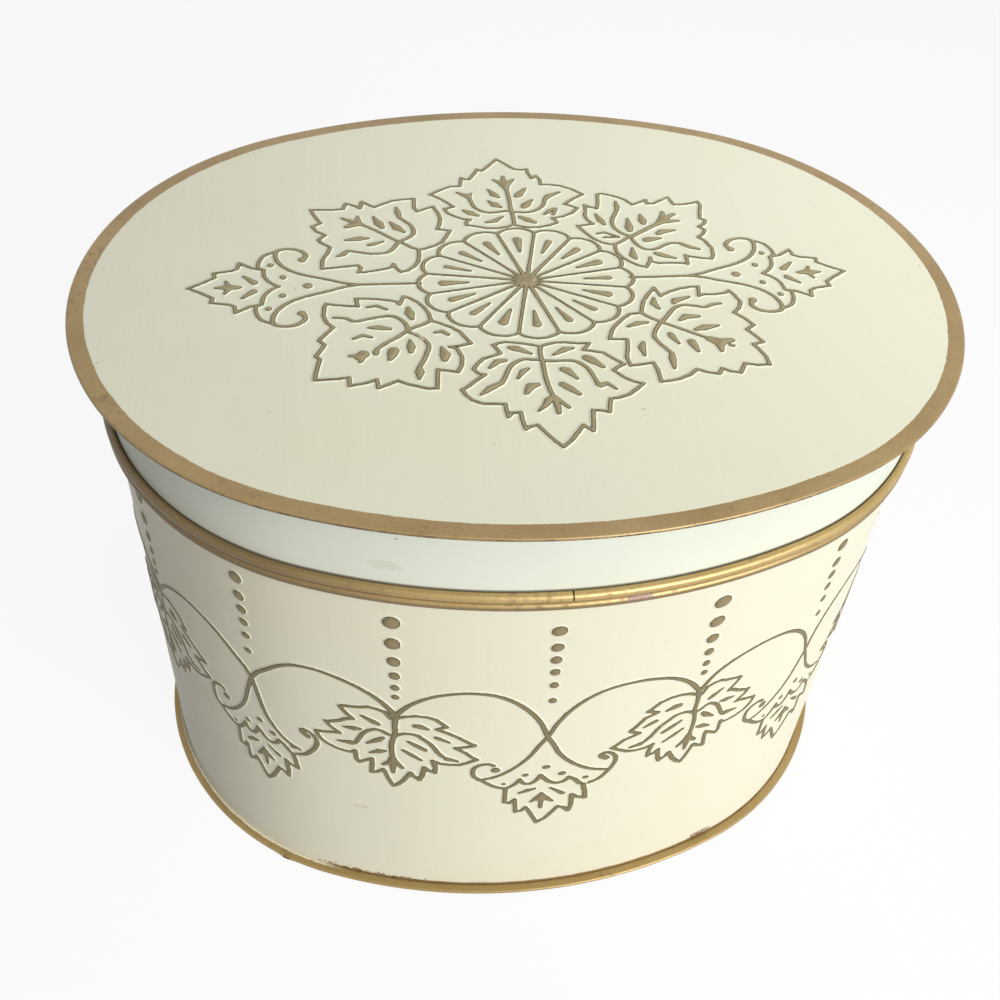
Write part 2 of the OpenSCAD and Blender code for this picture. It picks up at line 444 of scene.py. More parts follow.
def curve(points):
    """A smooth line through given points of (x, y, half width)."""
    spacing = 0.9
    ends = [points[0], *points, points[-1]]
    line = []
    for p0, p1, p2, p3 in zip(ends, ends[1:], ends[2:], ends[3:]):
        pieces = max(1, round(math.dist(p1[:2], p2[:2]) / spacing))
        for i in range(pieces):
            t = i / pieces
            line.append(tuple(
                0.5 * (2 * b + (c - a) * t + (2 * a - 5 * b + 4 * c - d) * t * t
                       + (3 * b - a - 3 * c + d) * t ** 3)
                for a, b, c, d in zip(p0, p1, p2, p3)
            ))
    return line + [points[-1]]


def drawn(points, half):
    """Points of (x, y) drawn with a brush of this half width."""
    return [(x, y, half) for x, y in points]


def moved(lines, move):
    """Lines with each point put where move(x, y) says."""
    return [[(*move(x, y), half) for x, y, half in line] for line in lines]


def shifted(lines, dx, dy=0):
    return moved(lines, lambda x, y: (x + dx, y + dy))


def mirrored(lines):
    return moved(lines, lambda x, y: (-x, y))


def pressing(lines, low, high, cell):
    """How far inside the lines each point of a grid over a patch is, in mm; negative is outside.

    The brush is held flat, so a fine line is thicker where it runs up and down."""
    columns = np.arange(low[0], high[0] + cell / 2, cell)
    rows = np.arange(low[1], high[1] + cell / 2, cell)
    x, y = np.meshgrid(columns, rows)
    far_outside, soft, reach = -9.0, 0.2, FLANK + 1.0
    inside = np.full(x.shape, far_outside)
    for line in lines:
        for (ax, ay, ar), (bx, by, br) in zip(line, line[1:]):
            margin = max(ar, br) + reach
            c0, c1 = np.searchsorted(columns, (min(ax, bx) - margin, max(ax, bx) + margin))
            r0, r1 = np.searchsorted(rows, (min(ay, by) - margin, max(ay, by) + margin))
            part = (slice(r0, r1), slice(c0, c1))
            dx, dy = bx - ax, by - ay
            if max(ar, br) < FINE_LINE:
                press = 0.85 + 0.4 * abs(dy) / (math.hypot(dx, dy) + 1e-9)
                ar, br = ar * press, br * press
            t = np.clip(((x[part] - ax) * dx + (y[part] - ay) * dy) / (dx * dx + dy * dy + 1e-9), 0, 1)
            gap = np.hypot(x[part] - ax - t * dx, y[part] - ay - t * dy)
            gap = np.sqrt(gap * gap + soft * soft) - soft
            inside[part] = np.maximum(inside[part], ar + t * (br - ar) - gap)
    return columns, rows, inside


def pressed_out(name, patches, paint):
    """One mesh of raised lines. Each patch is a pressing and a function that puts (x, y, height) in place."""
    steepness, hollow, skin = 0.9, -0.08, -0.05
    points, faces, gilt = [], [], []
    for (columns, rows, inside), put in patches:
        total = inside + FLANK
        foot = np.maximum(total, 0)
        swell = foot * foot / (foot + 0.25)
        raised = CREST * (1 - np.exp(-swell / steepness))
        height = np.where(total > 0, raised, np.maximum(0.4 * total, hollow))
        keep = total > skin
        cells = keep[:-1, :-1] | keep[1:, :-1] | keep[:-1, 1:] | keep[1:, 1:]
        number = {}
        for r, c in zip(*np.nonzero(cells)):
            face = []
            for corner in ((r, c), (r, c + 1), (r + 1, c + 1), (r + 1, c)):
                if corner not in number:
                    number[corner] = len(points)
                    points.append(put(columns[corner[1]], rows[corner[0]], height[corner]))
                    gilt.append(1 + max(-0.9, inside[corner]))
                face.append(number[corner])
            faces.append(face)
    piece = bent_sheet(name, points, faces, sharp=180)
    piece.data.attributes.new("gilt", "FLOAT", "POINT").data.foreach_set("value", gilt)
    piece.data.materials.append(paint)
    return piece


def leaf(line, vein, edge, veins, drops):
    """A leaf's lines: its toothed edge, the stem and veins inside it, and the drops between them."""
    return [drawn(edge + edge[:1], line), *(curve(drawn(points, vein)) for points in veins), *drops]


wall_leaf = leaf(
    WALL_LINE, WALL_VEIN,
    [
        (-1.1, 86.3), (-2.5, 88.8), (-4.7, 89.7), (-6.8, 90), (-9, 89.1), (-11.1, 88.6), (-13.1, 88.1),
        (-14, 87.4), (-13.1, 86.1), (-12, 84.7), (-10.7, 83.4), (-12.5, 82.7), (-14.7, 80.9), (-17.2, 79.5),
        (-18.6, 79), (-17.5, 77.4), (-15.9, 76.3), (-14.7, 75.4), (-16.8, 74.9), (-19, 74), (-21.8, 73.1),
        (-21.6, 71.6), (-20.7, 70), (-19, 68.6), (-16.1, 67.5), (-13.2, 67.2), (-11.5, 67.4), (-10.7, 68.4),
        (-10.6, 64.1), (-10, 63.1), (-8.6, 64), (-6.1, 65.8), (-6.1, 63.4), (-6.5, 59), (-4.7, 59.7),
        (-2.9, 61.3), (-2.4, 59.5), (-1.5, 56.6), (-0.4, 54.1), (1, 55.2), (2.5, 57.4), (4.3, 61.6),
        (5, 60.2), (6.6, 58.8), (7.3, 60.9), (7.8, 64.9), (8.7, 63.8), (10.5, 63.1), (10.5, 65.6),
        (9.8, 68.4), (11.8, 67.5), (14.3, 67.4), (16.8, 67.7), (18.9, 68.8), (21.8, 70.6), (20.3, 71.6),
        (18.5, 73.4), (15.7, 75.2), (17.8, 75.8), (20.3, 76.5), (21.2, 77), (19.3, 78.1), (16.8, 79.9),
        (13.9, 81.6), (10.7, 83.1), (12.1, 83.8), (13.5, 84.5), (12.1, 85.9), (10.7, 87.4), (8.2, 88.4),
        (5.3, 88.6), (2.5, 87.9), (0.9, 87),
    ],
    [
        [(0.2, 88.4), (-0.2, 84.9), (0, 79.9), (-0.7, 74.9), (-0.7, 70.6), (-0.5, 68.4)],
        [
            (-0.4, 78.4), (-1.8, 78.8), (-3.2, 79.9), (-4.7, 80.4), (-6.5, 79.5), (-7.9, 77.9), (-9, 75.6),
            (-9.7, 73.8), (-10.6, 72.2),
        ],
        [
            (0.5, 78.8), (1.8, 79.7), (3.5, 80), (5.3, 79.7), (7.1, 78.1), (8.9, 76.3), (10, 74.5),
            (11, 72.5), (12.3, 70.9),
        ],
    ],
    [
        [(0.2, 88.4, 0.7), (-0.1, 83.5, 0.5)], [(-0.4, 67.4, 0.9), (-0.4, 65.6, 1.2)],
        [(-0.6, 66, 0.9), (-2.9, 63.8, 0.45)], [(-0.4, 65.6, 1), (-0.3, 60.6, 0.4)],
        [(0, 66, 0.9), (2.1, 63.4, 0.45)], [(-11.6, 72, 0.95), (-15.6, 71.5, 0.25)],
        [(13.4, 70, 0.7), (16.4, 69.3, 0.3)], [(-8.4, 85.6, 0.3), (-5.4, 83.7, 0.8), (-4.2, 82.9, 0.5)],
        [(-13.4, 78.8, 0.25), (-10.7, 79.1, 0.9), (-8.8, 79.4, 0.4)],
        [(-7.2, 73.1, 0.25), (-4.3, 75.4, 0.9), (-3, 76.8, 0.5)],
        [(-6.5, 68.6, 0.3), (-4, 70, 0.9), (-2.4, 70.5, 0.4)],
        [(5.2, 84, 0.8), (6.4, 83.8, 0.9), (8.4, 82.9, 0.35)],
        [(10.6, 79.3, 0.55), (11.4, 78.9, 0.6), (14.1, 77.5, 0.25)],
        [(3.4, 76.3, 0.35), (5.5, 74.7, 0.65), (7.7, 73.1, 0.55)],
        [(2.1, 72, 0.35), (4.3, 70.2, 0.6), (6.8, 68.2, 0.35)],
    ],
)
festoon = curve([
    (0.3, 88.6, 0.59), (3.9, 93.4, 0.48), (9.0, 97.1, 0.44), (14.6, 99.1, 0.44), (20.0, 99.7, 0.44),
    (25.7, 98.6, 0.43), (30.6, 95.6, 0.43), (34.8, 91.2, 0.44), (37.6, 86.3, 0.42), (39.4, 81.0, 0.42),
    (41.4, 76.4, 0.4), (43.4, 71.4, 0.38), (46.2, 67.2, 0.37), (49.4, 64.0, 0.4), (53.0, 61.8, 0.4),
    (57.0, 60.6, 0.38),
])
wall_scroll = [curve(drawn(points, WALL_VEIN)) for points in (
    [
        (-16.3, 60.3), (-18.5, 62.1), (-19, 64.6), (-18.5, 66.7), (-16.7, 68.1), (-14.5, 68.5),
        (-13.1, 67.8),
    ],
    [
        (13, 55.3), (15.5, 56.7), (17.3, 59.2), (18.7, 61.7), (19.6, 64.6), (19.2, 66.7), (17.7, 68.4),
        (15.9, 68.9), (14.8, 67.9),
    ],
    [(-16.3, 60.3), (-14.5, 58.5), (-12.4, 56.9), (-10.2, 56), (-8.5, 56.4)],
    [(-8.5, 56.4), (-6.7, 58.1), (-5.6, 60.1)],
    [(-5.6, 60.1), (-4.5, 58.1), (-2.7, 57.6), (-1, 59.2), (-0.1, 61.5)],
    [(-0.1, 61.5), (1, 59.9), (2.6, 57.8), (4.8, 56.9), (6.5, 57.8), (7.3, 59.2)],
    [(7.3, 59.2), (8.7, 58.1), (10.5, 55.6)],
)]
wall_scroll.append(drawn([
    (-9.5, 55.6), (-9.7, 48.5), (-8.1, 48), (-6.7, 49.8), (-6.5, 46.4), (-6.3, 43.3), (-4.5, 43.9),
    (-3.3, 45.5), (-2.6, 44.2), (-1, 40.3), (0.3, 37.3), (2.6, 39.2), (4.8, 42.8), (5.8, 44.9), (7.3, 44.2),
    (9, 42.1), (9.4, 45.3), (9, 50.3), (10.5, 48.9), (12.8, 47.8), (12.3, 51.4), (11.5, 54.9),
], WALL_LINE))
wall_scroll += [
    [(-12.6, 65.6, 1.1), (-12.5, 65.6, 1.1)], [(15.3, 67.3, 0.8), (16.7, 66.3, 0.8)],
    [(-10.1, 58.3, 0.5), (-10, 58.3, 0.5)], [(-4.2, 62.3, 0.7), (-4.1, 62.3, 0.7)],
    [(1, 65.5, 0.8), (1.1, 65.5, 0.8)], [(5.3, 61.5, 0.8), (5.4, 61.5, 0.8)],
    [(11.7, 58.3, 0.6), (11.8, 58.3, 0.6)], [(-5.4, 53.1, 0.4), (-3.1, 54.2, 0.7), (-1, 54.9, 0.3)],
    [(3, 54.8, 0.2), (6.5, 51.5, 0.6)], [(0.9, 52.3, 0.4), (0.9, 50, 1.6)],
    [(0.6, 50.6, 1.1), (-1.9, 48.3, 0.35)], [(1.2, 50.6, 1.1), (4.1, 48, 0.35)],
    [(1, 48.6, 0.6), (1.1, 45, 0.4)],
]
leaf_drops = [(124.7, 2.04), (116.9, 1.9), (110.1, 1.6), (104.6, 1.27), (99.9, 1.0), (96.0, 0.86)]
scroll_drops = [(124.0, 1.7), (117.6, 1.45), (112.7, 1.3), (107.9, 1.15), (102.7, 1.05), (96.4, 0.92)]
drop_column, small_column = (
    [[(0.0, up, half), (0.05, up, half)] for up, half in drops] for drops in (leaf_drops, scroll_drops)
)

festoons = [festoon] + mirrored([festoon])
SHORT_LEAF, LEFT_SCROLL, BACK = 1, -2, 8


def short_lobe(x, y):
    """Draws in the upper right lobe of a leaf: on the wall, where the leaf is mirrored, the left one."""
    neck, low, high = 13, 74.5, 81
    return ((x + neck) / 2 if x > neck and low < y < high else x), y


def narrow_scroll(x, y):
    """Draws in the sides of a scroll, and draws up its left curl and its right side."""
    curl, curl_foot, side = -12, 61, 13
    if x > 0:
        return 0.9 * x, y + 0.19 * min(x, side)
    return 0.9 * x, y + (0.4 * min(6, max(0, y - curl_foot)) if x < curl else 0)


def closer_stems(x, y):
    """Makes the two stems over a scroll cross higher up and run down closer together."""
    crossing, scroll_half = 80, 20
    near = max(0, 1 - abs(x) / 6) ** 2
    pull = 1 if y > crossing or abs(x) > scroll_half else 0.72 if x > 0 else 0.85
    return x * pull, y + 4.2 * near


def leaf_at(column):
    """The leaf of a column: the ones right of the middle are mirror images of the ones left of it."""
    lines = moved(wall_leaf, short_lobe) if column == SHORT_LEAF else wall_leaf
    return mirrored(lines) if 0 < column < BACK else lines


def scroll_at(column):
    """The scroll of a column: the one at the left is narrower than the others."""
    return moved(wall_scroll, narrow_scroll) if column == LEFT_SCROLL else wall_scroll


def repeat(column):
    """A leaf and the scroll to its right, with what reaches over the edges of the patch."""
    lowest, highest, cells = 35.0, 128.5, 112
    lines = leaf_at(column) + drop_column + shifted(scroll_at(column + 1) + small_column, PITCH)
    lines += shifted(leaf_at(column + 2), 2 * PITCH) + shifted(scroll_at(column - 1), -PITCH)
    stems = []
    for column_shift in (-2 * PITCH, 0, 2 * PITCH):
        stems += shifted(festoons, column_shift)
    if column + 1 == LEFT_SCROLL:
        stems = shifted(moved(shifted(stems, -PITCH), closer_stems), PITCH)
    return pressing(lines + stems, (-PITCH / 2, lowest), (1.5 * PITCH, highest), PITCH / cells)


COLUMNS = (-BACK, -2, -1, 0, 1, 2, BACK, 14)
COLUMN_PLACES = (-ROUND / 2, -79.4, -39.9, -0.4, 40.7, 78.6, ROUND / 2, ROUND - 79.4)
HAND_SLIP = 0.35
RISE_FROM, RISE_OVER = 48, 34


def repeat_in_place(first_column):
    """Puts one repeat of the pattern on the wall, a little higher round the ends and the back."""

    def put(x, y, height):
        along = float(np.interp(first_column + x / PITCH, COLUMNS, COLUMN_PLACES))
        turn = 2 * math.pi * along / ROUND
        slip = Vector((math.sin(17 * turn + 0.09 * y), math.cos(13 * turn - 0.11 * y), 0)) * HAND_SLIP
        ease = min(1, max(0, (abs(along) - RISE_FROM) / RISE_OVER))
        lift = (2.2 - 0.5 * math.sin(turn)) * ease * ease * (3 - 2 * ease)
        return on_oval(along + slip.x, height, y + slip.y + lift)

    return put


repeats = [(repeat(column), repeat_in_place(column)) for column in range(1 - BACK, 1 + BACK, 2)]
ornament = pressed_out("wall_ornament", repeats, wall_paint)
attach(ornament, "box")

# Wire in the body's rim: soft steel wire that the mouth of the wall is rolled over. It stiffens the
# edge, and it is tinned like the sheet.
def tinned(name, tint):
    """Tin plate: bright, with a faint crystal pattern, dull patches and a few rust specks."""
    finish = Finish(name)
    crystal = finish.brush.make("TexVoronoi", None, {"Vector": finish.place, "Scale": 160.0}, 1)
    crystal = finish.brush.make("SeparateColor", None, {0: crystal})
    dull = finish.grain(0.04, 4)
    fine = finish.grain(0.9, 3, shift=3.0)
    colour = (crystal * 0.25 + dull * 0.6).over(shade(*(c - 34 for c in tint)), shade(*tint))
    rust = (fine * 0.6 + finish.grain(0.1, 3, shift=5.0) * 0.55).rise(0.72, 0.82)
    colour = (rust * 0.8).over(colour, shade(118, 74, 42))
    rough = 0.3 + dull * 0.25 + rust * 0.3
    return finish.lay(colour, rough, 0.95 - rust * 0.8, fine * 0.5 + dull, depth=0.08)


def coat(node, paint):
    """Gives a part of the frame that keeps its shape a better finish."""
    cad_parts[node].data.materials.clear()
    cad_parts[node].data.materials.append(paint)


coat("body_rim_wire", tinned("tinned_rim_wire", (178, 175, 167)))

# Seam of the wall: the strip's two ends are drawn together and run full of soft solder, which spreads
# along the inside. The outside is painted over with the wall.
def soldered(name):
    """Soft solder wiped along the seam, grey inside and painted cream on the wall's outer face."""
    finish = Finish(name)
    wiped = finish.grain(0.3, 4, (1, 1, 3))
    fine = finish.grain(1.2, 3, shift=2.0)
    colour = (wiped * 0.7 + fine * 0.3).over(shade(140, 138, 132), shade(186, 184, 177))
    painted_face = outside(finish).rise(-0.2, -0.1)
    colour = painted_face.over(colour, shade(226, 216, 184))
    rough = 0.42 + fine * 0.2
    return finish.lay(colour, rough, 0.5 - painted_face * 0.5, wiped + fine * 0.4, depth=0.15)


coat("wall_seam_solder", soldered("solder_in_wall_seam"))

# Collar: a strip of tin plate soldered inside the mouth, standing up into the lid to locate it. Its top
# edge is turned in as a hem, and it is left unpainted.
collar_section = (
    [(-0.85, 120.2), (-0.45, 120.2), (-0.45, 155.4)]
    + arc(-0.75, 155.4, 0.3, 0, 90, 4)[1:]
    + arc(-0.95, 155.4, 0.3, 90, 180, 4)
    + [(-1.25, 150.8), (-1.19, 150.7), (-0.91, 150.7), (-0.85, 150.6)]
)
collar = bent_sheet("collar", *carried_round(collar_section))
collar.data.materials.append(tinned("tinned_collar", (186, 182, 172)))
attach(collar, "box")
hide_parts("body_collar")

# Lid skirt: a strip of the same sheet, soldered at the front. Its top is turned out into the lid's
# fold, and its foot is rolled outwards over a wire to make the hem that meets the body's rim.
SKIRT_SEAM = 1.0
SKIRT_ROLL = 1.1, 137.9


def skirt_gold(finish):
    """Gold on the rolled hem."""
    return outside(finish).rise(0.24, 0.3) * finish.parts[2].rise(139.6, 139.4)


def skirt_marks(finish):
    """Painted shade darkening the hem's gold towards the left end, painted shade in the crevice above the
    hem, the painted-over seam, a faint stain.
    """
    x, y, up = finish.parts
    # Painted shade in the crevice where the skirt meets the top of the hem.
    painted_crevice_shade = up.rise(138.5, 138.8) * up.rise(139.7, 139.2) * outside(finish).rise(0.9, 0.5)
    # Painted shade: the hem's gold is darkened towards the left end.
    painted_left_shade = x.rise(-10, -75) * skirt_gold(finish)
    seam = (x - SKIRT_SEAM).size().rise(0.4, 0.1) * y.rise(0, -1) * up.rise(157.0, 161.0)
    stain = finish.spot(-40.8, -78.7, 145.0, 4.0, 1.6)
    return (
        (painted_left_shade * 0.75, (108, 87, 57)),
        (painted_crevice_shade * 0.75, (92, 74, 50)),
        (seam * 0.3, (142, 120, 92)),
        (stain * 0.2, (190, 176, 140)),
    )


skirt_section = (
    [(-0.2, 162.6), (5.75, 162.6), (5.75, 162.2), (0.5, 162.2), (0.28, 162.12), (0.2, 161.9)]
    + arc(*SKIRT_ROLL, WIRE_SIDE, 180, 506, 24)
    + arc(*SKIRT_ROLL, PAINT_SIDE, 485, 180, 28)
)[::-1]
skirt = strip("lid_skirt_strip", skirt_section, SKIRT_SEAM)
skirt_paint = painted(
    "cream_paint_on_skirt", tint=(234, 239, 224), gold_tint=(190, 163, 106), line_tint=(154, 141, 107),
    streak=(14, 14, 1), gilt=skirt_gold, marks=skirt_marks,
)
skirt.data.materials.append(skirt_paint)
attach(skirt, "lid")
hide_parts("lid_skirt")

# Wire in the lid's hem and solder in the skirt's seam: the wire is like the one in the body's rim, but
# darkened as painted shade, and the solder is painted over with the skirt.
# Painted shade: the hem wire has a dark tint so that it reads dark through the gap of the skirt's seam.
coat("lid_hem_wire", tinned("hem_wire_darkened_as_shade", (110, 100, 84)))
coat("skirt_seam_solder", skirt_paint)

# Lid top: a flat oval panel with its edge folded under round the skirt's flange. The face is cream, and
# the border and the fold are painted gold.
LID_TOP = 163.0
LID_BEND = 5.75, 162.4
LID_EDGE, LID_BAND = 6.35, 4.3


def lid_gold(finish):
    """Gold on the border and the fold, with the uneven inner edge of a hand-drawn band."""
    ragged = (finish.grain(0.08, 3, shift=5.5) - 0.5) * 0.7 + (finish.grain(0.7, 2, shift=0.7) - 0.5) * 0.35
    return (outside(finish) + ragged).rise(LID_EDGE - LID_BAND - 0.12, LID_EDGE - LID_BAND + 0.12)


def lid_marks(finish):
    """Blots on the border, spots on the fold's lower edge, painted shade along that edge towards the left,
    and scratches at the right.
    """
    lower = finish.parts[2].rise(162.8, 162.45) * outside(finish).rise(5.4, 5.7)
    # Painted shade along the fold's lower edge, growing towards the left end.
    painted_edge_shade = lower * finish.parts[0].rise(20, -70)
    spots = finish.grain(0.16, 4, shift=8.8) * 0.6 + finish.grain(0.9, 3, shift=0.9) * 0.5
    spots = spots.rise(0.53, 0.61) * lower
    blots = finish.grain(0.2, 4, shift=3.8) * 0.65 + finish.grain(0.9, 3, shift=2.9) * 0.4
    blots = blots.rise(0.6, 0.68) * outside(finish).rise(2.2, 3.4)
    scratches = finish.grain(0.8, 2, (9, 1, 1), 4.1).rise(0.58, 0.64)
    scratches = scratches * finish.spot(57.6, -77.6, LID_TOP, 5.0, 3.0)
    return (
        (blots * 0.4, (112, 92, 60)),
        (painted_edge_shade * 0.6, (88, 70, 46)),
        (spots * 0.85, (82, 62, 44)),
        (scratches * 0.5, (112, 90, 62)),
    )


lid_section = (
    [(-10.0, 162.6), (5.75, 162.6)]
    + arc(*LID_BEND, INSIDE, 90, -90, 4)[1:]
    + [(0.5, 162.2), (0.5, 161.8)]
    + arc(*LID_BEND, OUTSIDE, -90, 90, 12)
    + [(1.0, LID_TOP), (-10.0, LID_TOP)]
)
lid_top = panel("lid_top", lid_section)
lid_paint = painted(
    "cream_paint_on_lid", tint=(231, 231, 208), gold_tint=(165, 140, 96), line_tint=(158, 147, 109),
    streak=(1, 14, 1), gilt=lid_gold, marks=lid_marks,
)
lid_top.data.materials.append(lid_paint)
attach(lid_top, "lid")
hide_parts("lid_panel")

# Lid ornament: a rosette of sixteen petals with six leaves round it and a scroll at each side, pressed
# up in the panel and picked out in gold.
LID_LINE, LID_VEIN = 0.31, 0.36
ROSETTE = 0.9, 0.5
ROSETTE_LONG, ROSETTE_WIDE = 28.3, 24.3
PETALS, PETAL_STEPS = 16, 12
PETAL_FOOT, PETAL_NOTCH, PETAL_BULGE = 0.08, 0.915, 0.082


def petal_point(turn, share):
    """A point of the rosette, by its turn in petals and its share of the way out."""
    angle = 2 * math.pi * turn / PETALS
    return ROSETTE_LONG * share * math.cos(angle), ROSETTE_WIDE * share * math.sin(angle)


rosette = [[(-1.2, -0.5, 1.5), (1.1, 0.4, 1.6)], [(-0.5, 1.0, 1.3), (0.8, -1.0, 1.2)]]
scallop = []
for step in range(PETALS * PETAL_STEPS + 1):
    turn = step / PETAL_STEPS
    bulge = abs(math.sin(math.pi * (turn - 0.5))) ** 0.7
    scallop.append((*petal_point(turn, PETAL_NOTCH + PETAL_BULGE * bulge), LID_LINE))
rosette.append(scallop)
for petal in range(PETALS):
    between = petal + 0.5
    thin = 0.22 + 0.1 * ((petal * 7) % 5) / 4
    spoke = (PETAL_FOOT, 0.4), (0.4, thin), (PETAL_NOTCH, 0.27)
    rosette.append([(*petal_point(between, share), half) for share, half in spoke])
    full = 0.7 + 0.4 * ((petal * 5) % 7) / 6
    rosette.append([(*petal_point(petal, share), half) for share, half in ((0.77, full), (0.54, 0.24))])

back_leaf = leaf(
    LID_LINE, LID_VEIN,
    [
        (0.9, 26.6), (-1.1, 25.7), (-4, 25), (-7.1, 25.4), (-9.7, 26.4), (-12, 27), (-11.9, 28.6),
        (-10.7, 29.7), (-12.6, 30), (-14.6, 31.3), (-16.6, 33.1), (-17.3, 35.4), (-14.7, 36.3),
        (-16.3, 38.6), (-18.3, 40.9), (-20.7, 42.9), (-18.9, 44.3), (-16.3, 46), (-14.3, 47), (-11.9, 46.9),
        (-11.4, 49.1), (-11, 51.4), (-10, 50.6), (-8.9, 50.4), (-7.1, 53.4), (-5.9, 55.9), (-4.6, 55.1),
        (-2.9, 57.1), (-1.1, 59.4), (0.4, 61.3), (2.3, 58.9), (4.9, 55.6), (6.9, 55.1), (8.6, 55.4),
        (8.6, 53.4), (9.3, 50.4), (10.7, 51.7), (11.6, 49.7), (11.4, 46.9), (14, 46.7), (16.9, 46), (20, 44),
        (22.7, 41.1), (19.7, 39.1), (16.6, 36.3), (18.3, 35.3), (20, 34.1), (18, 31.7), (15.1, 30),
        (12.1, 29.3), (12.9, 28), (13.1, 27.1), (10.9, 25.9), (8, 25.1), (4.6, 25.1), (2.3, 26),
    ],
    [
        [(1.1, 26.9), (1.3, 31.1), (1.1, 33.7), (1.3, 38.3), (1.3, 42.3), (1.1, 45.1)],
        [(0.9, 33.7), (-1.7, 33.3), (-4.3, 32.9), (-6.6, 33.4), (-8.3, 34.9), (-9.3, 37.1), (-9.7, 39.7)],
        [(1.7, 33.1), (4.6, 32.6), (7.1, 33), (9.1, 34.3), (10.6, 36.3), (11.4, 38.9)],
    ],
    [
        [(1.1, 45.4, 0.8), (1, 47.1, 1.5)], [(0.8, 47.4, 1.1), (-1.9, 50, 0.3)],
        [(1, 47.5, 1.1), (1.1, 51.7, 0.3)], [(1.4, 47.4, 1.1), (3.9, 49.9, 0.3)],
        [(-9.8, 40.2, 0.5), (-10.2, 41.6, 0.95), (-13, 43.6, 0.3)], [(-10, 41.6, 0.7), (-9.1, 42.9, 0.3)],
        [(11.7, 39.4, 0.6), (12.8, 40.8, 0.75), (16.3, 42.6, 0.25)],
        [(-4, 44.7, 0.3), (-2.6, 42, 1), (-1.5, 40.6, 0.4)],
        [(-4.6, 38.8, 0.3), (-3, 36.8, 1.1), (-1.5, 35.6, 0.4)],
        [(3.6, 41, 0.6), (4.4, 41.8, 1), (6.6, 44.9, 0.3)],
        [(5, 35.4, 0.8), (5.6, 36.3, 1.1), (7.7, 38.9, 0.3)],
        [(-12.1, 34.3, 0.4), (-10.3, 32.9, 1), (-8.5, 31.6, 0.5)],
        [(10.3, 31.4, 0.35), (12, 33.2, 0.6), (13.7, 34.2, 0.35)], [(13.7, 34, 0.4), (12.6, 31.2, 0.35)],
        [(-6.3, 28.1, 0.4), (-4, 28.7, 0.75), (-1.6, 30.7, 0.25)],
        [(3.3, 30.2, 0.6), (5.1, 28.9, 0.95), (6.9, 27.5, 0.6)],
    ],
)
front_leaf = leaf(
    LID_LINE, LID_VEIN,
    [
        (0.3, -27), (-1.7, -26.1), (-4.6, -25.3), (-8, -24.7), (-9.7, -25), (-11.1, -25.7), (-10.4, -27.1),
        (-9.7, -29), (-11.7, -29.9), (-14, -30.7), (-15.7, -32.6), (-16.9, -34.6), (-15.7, -36.3),
        (-14.3, -36.7), (-16.9, -38.9), (-18.9, -40.9), (-20.3, -41.9), (-19.7, -43.7), (-18.3, -45.7),
        (-16, -47.1), (-13.4, -47.3), (-10.9, -47.6), (-10.9, -50), (-10.7, -52), (-9.7, -50.7),
        (-7.7, -50.7), (-7.7, -53.4), (-7.3, -56.4), (-6.3, -55.7), (-4.4, -55.3), (-3.1, -57.7),
        (-1.4, -60.6), (0.3, -62.9), (2.3, -61.1), (4.6, -58), (6.1, -56), (7.9, -58.1), (8.3, -56.3),
        (9.1, -51.1), (11.1, -51.3), (12.9, -51.9), (13.4, -49.4), (14, -47.4), (16, -47.1), (18.9, -46),
        (20.9, -44.3), (22.9, -42.4), (20.9, -41.7), (18.6, -39.7), (16.6, -37.1), (18.3, -35.7),
        (19.7, -35), (17.7, -32.9), (15.4, -30.3), (13.1, -29.6), (10.7, -28.9), (12.6, -26.4), (9.7, -26.3),
        (6.9, -25.7), (4, -25.7), (1.7, -26.3),
    ],
    [
        [(0.3, -27.1), (-0.1, -30), (0, -33.4), (-0.1, -38), (0.1, -42), (0.6, -45.4)],
        [
            (0, -32.1), (-2.3, -31.9), (-4.3, -31.6), (-6, -32.3), (-7.7, -33.7), (-8.9, -36), (-9.7, -38),
            (-10.6, -39.7),
        ],
        [
            (0.3, -32.4), (3.1, -32.7), (5.7, -32.7), (7.7, -33), (9.4, -34.3), (10.7, -36.3), (11.4, -39.1),
            (12, -41.7),
        ],
    ],
    [
        [(0.4, -46, 0.6), (-0.7, -47, 0.9), (-1.7, -48.7, 0.5), (-3.6, -50.6, 0.1)],
        [(0.8, -46, 0.5), (1.1, -49.4, 0.5), (1.1, -51.5, 0.35)], [(0.8, -45.8, 0.5), (3.7, -49.7, 0.35)],
        [(-10.8, -40, 0.5), (-13.6, -41.7, 0.8), (-16.1, -43.9, 0.25)],
        [(12.1, -42, 0.7), (12.6, -42.4, 0.7), (14.3, -41.8, 0.4), (16, -43.9, 0.25)],
        [(-7, -27, 0.6), (-5.6, -27.4, 0.95), (-2.3, -29.6, 0.3)],
        [(3.1, -30.4, 0.3), (6.2, -28.4, 0.75), (8.3, -28, 0.3)],
        [(-12.9, -34.3, 0.3), (-10.9, -32.1, 0.75), (-8.8, -31.7, 0.45)],
        [(-6.7, -38.6, 0.25), (-5.2, -36.1, 0.65), (-3.8, -35.2, 0.35)],
        [(-5.4, -44, 0.5), (-4.1, -41.6, 0.95), (-2.3, -41.2, 0.5)],
        [(4.6, -36, 0.8), (5.5, -36.5, 1), (7.4, -39.6, 0.3)],
        [(3.6, -41.5, 0.8), (5.2, -43.2, 0.85), (7, -45.2, 0.4)],
        [(11, -32, 1), (12, -32.9, 1.15), (14.4, -35.6, 0.45)],
    ],
)
